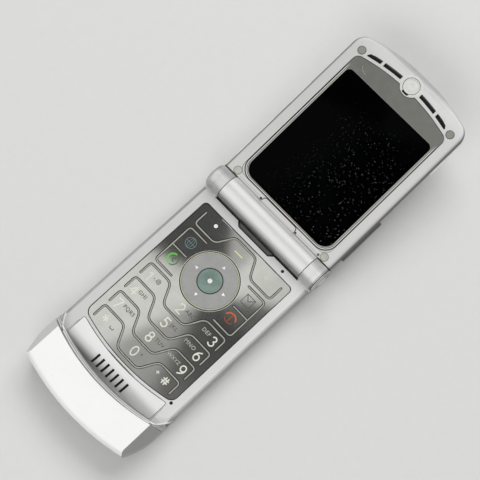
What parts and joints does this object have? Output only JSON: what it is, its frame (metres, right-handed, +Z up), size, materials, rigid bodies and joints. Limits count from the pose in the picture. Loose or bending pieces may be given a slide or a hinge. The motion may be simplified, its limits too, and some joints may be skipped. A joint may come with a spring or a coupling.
{
  "type": "flip phone",
  "caption": "Slim clamshell phone, open, with a keypad base, a raised chin, a hinged lid with a large inner display, and moving keys.",
  "frame": {"origin": "on the flat back of the base, straight below the hinge axis, midway between the sides", "axes": "+X to the phone's right, +Y from the chin to the lid's tip, +Z up out of the keypad"},
  "size_m": [0.0542, 0.169, 0.0217],
  "materials": {
    "body_silver": "satin silver paint",
    "chin_silver": "satin silver paint",
    "trim_silver": "satin silver paint",
    "side_silver": "satin silver paint",
    "lid_silver": "fine satin anodised",
    "keypad_nickel": "satin nickel, etched",
    "rocker_grey": "satin grey",
    "select_green": "satin grey-green",
    "bright_trim": "bright plated",
    "grey_plastic": "matt",
    "black_plastic": "matt",
    "dark_rubber": "matt",
    "bumper_rubber": "matt",
    "clear_lens": "clear, glossy, grey border",
    "dark_lens": "glossy",
    "display_black": "glossy",
    "hinge_steel": "plain",
    "tinned_steel": "plain",
    "dome_metal": "gold washed",
    "circuit_board": "satin",
    "battery_wrap": "satin wrap",
    "antenna_plastic": "matt",
    "silicone": "translucent, matt",
    "flex_copper": "satin film"
  },
  "bodies": {
    "base": {"base_rear_housing": "body_silver", "base_front_housing": "body_silver", "chin_cover": "chin_silver", "grille_bar": "trim_silver", "keypad_plate": "keypad_nickel", "keypad_mat": "silicone", "dome_sheet": "dome_metal", "main_board": "circuit_board", "shield_cans": "tinned_steel", "battery": "battery_wrap", "antenna": "antenna_plastic", "loudspeaker": "black_plastic", "microphone": "tinned_steel", "hinge_pins": "hinge_steel", "hinge_end_caps": "bright_trim", "flex_cover": "dark_rubber", "base_screws": "hinge_steel"},
    "lid": {"lid_outer_housing": "lid_silver", "lid_inner_housing": "body_silver", "hinge_cartridge": "hinge_steel", "flex_cable": "flex_copper", "inner_lens": "clear_lens", "inner_display": "display_black", "lid_board": "circuit_board", "outer_display": "display_black", "outer_lens": "dark_lens", "camera_module": "black_plastic", "earpiece": "black_plastic", "badge_disc": "bright_trim", "rubber_bumpers": "bumper_rubber", "vibration_motor": "tinned_steel", "data_port": "tinned_steel"},
    "key_1": {"key_1": "keypad_nickel"},
    "key_2": {"key_2": "keypad_nickel"},
    "key_3": {"key_3": "keypad_nickel"},
    "key_4": {"key_4": "keypad_nickel"},
    "key_5": {"key_5": "keypad_nickel"},
    "key_6": {"key_6": "keypad_nickel"},
    "key_7": {"key_7": "keypad_nickel"},
    "key_8": {"key_8": "keypad_nickel"},
    "key_9": {"key_9": "keypad_nickel"},
    "key_star": {"key_star": "keypad_nickel"},
    "key_0": {"key_0": "keypad_nickel"},
    "key_hash": {"key_hash": "keypad_nickel"},
    "soft_key_left": {"soft_key_left": "keypad_nickel"},
    "soft_key_right": {"soft_key_right": "keypad_nickel"},
    "menu_key": {"menu_key": "keypad_nickel"},
    "web_key": {"web_key": "keypad_nickel"},
    "message_key": {"message_key": "keypad_nickel"},
    "send_key": {"send_key": "keypad_nickel"},
    "end_key": {"end_key": "keypad_nickel"},
    "rocker_carrier": {"rocker_carrier": "black_plastic"},
    "rocker_ring": {"rocker_ring": "rocker_grey"},
    "select_button": {"select_button": "select_green"},
    "battery_door": {"battery_door": "lid_silver"},
    "door_latch": {"door_latch": "grey_plastic"},
    "volume_rocker": {"volume_rocker": "side_silver"},
    "smart_key": {"smart_key": "side_silver"},
    "voice_key": {"voice_key": "side_silver"},
    "port_cover": {"port_cover": "dark_rubber"}
  },
  "joints": [
    {"name": "lid_hinge", "type": "hinge", "parent": "base", "child": "lid", "pos_m": [0, 0, 0.0089], "axis": [1, 0, 0], "range_deg": [0, 171]},
    {"name": "key_1_press", "type": "slide", "parent": "base", "child": "key_1", "axis": [0, 0, -1], "range_m": [0, 0.00025], "stiffness_N_per_m": 400},
    {"name": "key_2_press", "type": "slide", "parent": "base", "child": "key_2", "axis": [0, 0, -1], "range_m": [0, 0.00025], "stiffness_N_per_m": 400},
    {"name": "key_3_press", "type": "slide", "parent": "base", "child": "key_3", "axis": [0, 0, -1], "range_m": [0, 0.00025], "stiffness_N_per_m": 400},
    {"name": "key_4_press", "type": "slide", "parent": "base", "child": "key_4", "axis": [0, 0, -1], "range_m": [0, 0.00025], "stiffness_N_per_m": 400},
    {"name": "key_5_press", "type": "slide", "parent": "base", "child": "key_5", "axis": [0, 0, -1], "range_m": [0, 0.00025], "stiffness_N_per_m": 400},
    {"name": "key_6_press", "type": "slide", "parent": "base", "child": "key_6", "axis": [0, 0, -1], "range_m": [0, 0.00025], "stiffness_N_per_m": 400},
    {"name": "key_7_press", "type": "slide", "parent": "base", "child": "key_7", "axis": [0, 0, -1], "range_m": [0, 0.00025], "stiffness_N_per_m": 400},
    {"name": "key_8_press", "type": "slide", "parent": "base", "child": "key_8", "axis": [0, 0, -1], "range_m": [0, 0.00025], "stiffness_N_per_m": 400},
    {"name": "key_9_press", "type": "slide", "parent": "base", "child": "key_9", "axis": [0, 0, -1], "range_m": [0, 0.00025], "stiffness_N_per_m": 400},
    {"name": "key_star_press", "type": "slide", "parent": "base", "child": "key_star", "axis": [0, 0, -1], "range_m": [0, 0.00025], "stiffness_N_per_m": 400},
    {"name": "key_0_press", "type": "slide", "parent": "base", "child": "key_0", "axis": [0, 0, -1], "range_m": [0, 0.00025], "stiffness_N_per_m": 400},
    {"name": "key_hash_press", "type": "slide", "parent": "base", "child": "key_hash", "axis": [0, 0, -1], "range_m": [0, 0.00025], "stiffness_N_per_m": 400},
    {"name": "soft_key_left_press", "type": "slide", "parent": "base", "child": "soft_key_left", "axis": [0, 0, -1], "range_m": [0, 0.00025], "stiffness_N_per_m": 400},
    {"name": "soft_key_right_press", "type": "slide", "parent": "base", "child": "soft_key_right", "axis": [0, 0, -1], "range_m": [0, 0.00025], "stiffness_N_per_m": 400},
    {"name": "menu_key_press", "type": "slide", "parent": "base", "child": "menu_key", "axis": [0, 0, -1], "range_m": [0, 0.00025], "stiffness_N_per_m": 400},
    {"name": "web_key_press", "type": "slide", "parent": "base", "child": "web_key", "axis": [0, 0, -1], "range_m": [0, 0.00025], "stiffness_N_per_m": 400},
    {"name": "message_key_press", "type": "slide", "parent": "base", "child": "message_key", "axis": [0, 0, -1], "range_m": [0, 0.00025], "stiffness_N_per_m": 400},
    {"name": "send_key_press", "type": "slide", "parent": "base", "child": "send_key", "axis": [0, 0, -1], "range_m": [0, 0.00025], "stiffness_N_per_m": 400},
    {"name": "end_key_press", "type": "slide", "parent": "base", "child": "end_key", "axis": [0, 0, -1], "range_m": [0, 0.00025], "stiffness_N_per_m": 400},
    {"name": "select_button_press", "type": "slide", "parent": "base", "child": "select_button", "axis": [0, 0, -1], "range_m": [0, 0.00025], "stiffness_N_per_m": 400},
    {"name": "rocker_up_down", "type": "hinge", "parent": "base", "child": "rocker_carrier", "pos_m": [0, -0.0275, 0.0071], "axis": [1, 0, 0], "range_deg": [-1.2, 1.2], "stiffness_Nm_per_rad": 0.05},
    {"name": "rocker_left_right", "type": "hinge", "parent": "rocker_carrier", "child": "rocker_ring", "pos_m": [0, -0.0275, 0.0071], "axis": [0, 1, 0], "range_deg": [-1.2, 1.2], "stiffness_Nm_per_rad": 0.05},
    {"name": "battery_door_swing", "type": "hinge", "parent": "base", "child": "battery_door", "pos_m": [0, -0.0686, 0], "axis": [-1, 0, 0], "range_deg": [0, 75]},
    {"name": "door_latch_slide", "type": "slide", "parent": "base", "child": "door_latch", "axis": [0, 1, 0], "range_m": [0, 0.001], "stiffness_N_per_m": 200},
    {"name": "volume_rocker_tilt", "type": "hinge", "parent": "lid", "child": "volume_rocker", "pos_m": [-0.0259, 0.01986, 0.00941], "axis": [0, -0.1564, 0.9877], "range_deg": [-2, 2], "stiffness_Nm_per_rad": 0.05},
    {"name": "smart_key_press", "type": "slide", "parent": "lid", "child": "smart_key", "axis": [1, 0, 0], "range_m": [0, 0.00035], "stiffness_N_per_m": 400},
    {"name": "voice_key_press", "type": "slide", "parent": "lid", "child": "voice_key", "axis": [-1, 0, 0], "range_m": [0, 0.00035], "stiffness_N_per_m": 400},
    {"name": "port_cover_swing", "type": "hinge", "parent": "lid", "child": "port_cover", "pos_m": [0.027, 0.01068, 0.00796], "axis": [0, 0.1564, -0.9877], "range_deg": [0, 100]}
  ]
}
